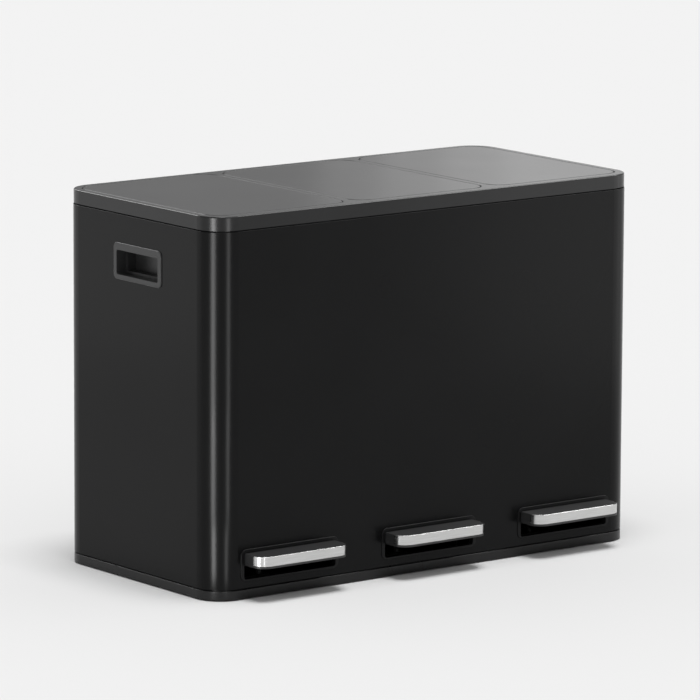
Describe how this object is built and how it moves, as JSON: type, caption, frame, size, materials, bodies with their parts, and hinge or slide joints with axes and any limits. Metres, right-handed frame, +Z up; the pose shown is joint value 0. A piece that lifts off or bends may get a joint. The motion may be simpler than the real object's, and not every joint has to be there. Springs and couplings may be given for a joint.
{
  "type": "pedal recycling bin",
  "caption": "Rectangular pedal bin with flush lids over lift-out buckets, each lid raised by its own front pedal through a lever and push rod.",
  "frame": {"origin": "on the floor, under the middle of the bin's overall box, pedals included", "axes": "+X to the bin's right as seen from the front, +Y to its back, +Z up"},
  "size_m": [0.6026, 0.3244, 0.43],
  "materials": {
    "painted_steel": "dark grey satin powder coat",
    "black_plastic": "fine-grained black plastic",
    "pedal_plastic": "dark grey moulded plastic",
    "bright_trim": "satin bright metal",
    "black_steel": "black phosphated steel",
    "zinc_steel": "zinc-plated steel",
    "bucket_plastic": "dark grey polypropylene",
    "liner_plastic": "black plastic",
    "guide_plastic": "natural white plastic",
    "rubber": "black rubber",
    "damper_plastic": "grey plastic"
  },
  "bodies": {
    "cabinet": {"body_shell": "painted_steel", "shell_bands": "painted_steel", "base_pan": "black_plastic", "rubber_feet": "rubber", "top_frame": "painted_steel", "bucket_platform": "black_plastic", "rear_divider": "zinc_steel", "compartment_divider_left": "black_plastic", "compartment_divider_right": "black_plastic", "handle_insert_left": "black_plastic", "handle_insert_right": "black_plastic", "pedal_pivot_pins": "black_steel", "bracket_screws": "zinc_steel", "lid_hinge_pins": "zinc_steel", "pedal_bezel_left": "black_plastic", "pedal_bezel_middle": "black_plastic", "pedal_bezel_right": "black_plastic", "pedal_bracket_left": "black_steel", "pedal_bracket_middle": "black_steel", "pedal_bracket_right": "black_steel", "rod_guides_left": "guide_plastic", "rod_guides_middle": "guide_plastic", "rod_guides_right": "guide_plastic", "damper_cylinder_left": "damper_plastic", "damper_cylinder_middle": "damper_plastic", "damper_cylinder_right": "damper_plastic"},
    "lid_left": {"lid_skin_left": "painted_steel", "lid_liner_left": "liner_plastic", "lid_crank_left": "zinc_steel", "lid_bumpers_left": "rubber"},
    "pedal_left": {"pedal_pad_left": "pedal_plastic", "pedal_trim_left": "bright_trim", "pedal_lever_left": "black_steel"},
    "push_rod_left": {"push_rod_left": "zinc_steel", "damper_piston_left": "zinc_steel"},
    "bucket_left": {"bucket_left": "bucket_plastic"},
    "lid_middle": {"lid_skin_middle": "painted_steel", "lid_liner_middle": "liner_plastic", "lid_crank_middle": "zinc_steel", "lid_bumpers_middle": "rubber"},
    "pedal_middle": {"pedal_pad_middle": "pedal_plastic", "pedal_trim_middle": "bright_trim", "pedal_lever_middle": "black_steel"},
    "push_rod_middle": {"push_rod_middle": "zinc_steel", "damper_piston_middle": "zinc_steel"},
    "bucket_middle": {"bucket_middle": "bucket_plastic"},
    "lid_right": {"lid_skin_right": "painted_steel", "lid_liner_right": "liner_plastic", "lid_crank_right": "zinc_steel", "lid_bumpers_right": "rubber"},
    "pedal_right": {"pedal_pad_right": "pedal_plastic", "pedal_trim_right": "bright_trim", "pedal_lever_right": "black_steel"},
    "push_rod_right": {"push_rod_right": "zinc_steel", "damper_piston_right": "zinc_steel"},
    "bucket_right": {"bucket_right": "bucket_plastic"}
  },
  "joints": [
    {"name": "lid_hinge_left", "type": "hinge", "parent": "cabinet", "child": "lid_left", "pos_m": [-0.19633, 0.12925, 0.4264], "axis": [-1, 0, 0], "range_deg": [0, 80]},
    {"name": "pedal_pivot_left", "type": "hinge", "parent": "cabinet", "child": "pedal_left", "pos_m": [-0.19633, -0.04425, 0.024], "axis": [1, 0, 0], "range_deg": [0, 6.4]},
    {"name": "rod_slide_left", "type": "slide", "parent": "cabinet", "child": "push_rod_left", "axis": [0, 0, 1], "range_m": [0, 0.0181]},
    {"name": "bucket_lift_left", "type": "slide", "parent": "cabinet", "child": "bucket_left", "axis": [0, 0, 1], "range_m": [0, 0.028]},
    {"name": "lid_hinge_middle", "type": "hinge", "parent": "cabinet", "child": "lid_middle", "pos_m": [0, 0.12925, 0.4264], "axis": [-1, 0, 0], "range_deg": [0, 80]},
    {"name": "pedal_pivot_middle", "type": "hinge", "parent": "cabinet", "child": "pedal_middle", "pos_m": [0, -0.04425, 0.024], "axis": [1, 0, 0], "range_deg": [0, 6.4]},
    {"name": "rod_slide_middle", "type": "slide", "parent": "cabinet", "child": "push_rod_middle", "axis": [0, 0, 1], "range_m": [0, 0.0181]},
    {"name": "bucket_lift_middle", "type": "slide", "parent": "cabinet", "child": "bucket_middle", "axis": [0, 0, 1], "range_m": [0, 0.028]},
    {"name": "lid_hinge_right", "type": "hinge", "parent": "cabinet", "child": "lid_right", "pos_m": [0.19633, 0.12925, 0.4264], "axis": [-1, 0, 0], "range_deg": [0, 80]},
    {"name": "pedal_pivot_right", "type": "hinge", "parent": "cabinet", "child": "pedal_right", "pos_m": [0.19633, -0.04425, 0.024], "axis": [1, 0, 0], "range_deg": [0, 6.4]},
    {"name": "rod_slide_right", "type": "slide", "parent": "cabinet", "child": "push_rod_right", "axis": [0, 0, 1], "range_m": [0, 0.0181]},
    {"name": "bucket_lift_right", "type": "slide", "parent": "cabinet", "child": "bucket_right", "axis": [0, 0, 1], "range_m": [0, 0.028]}
  ],
  "couplings": [
    {"joint": "pedal_pivot_left", "follows": "lid_hinge_left", "ratio": 0.079664},
    {"joint": "rod_slide_left", "follows": "lid_hinge_left", "m_per_rad": 0.01289},
    {"joint": "pedal_pivot_middle", "follows": "lid_hinge_middle", "ratio": 0.079664},
    {"joint": "rod_slide_middle", "follows": "lid_hinge_middle", "m_per_rad": 0.01289},
    {"joint": "pedal_pivot_right", "follows": "lid_hinge_right", "ratio": 0.079664},
    {"joint": "rod_slide_right", "follows": "lid_hinge_right", "m_per_rad": 0.01289}
  ]
}
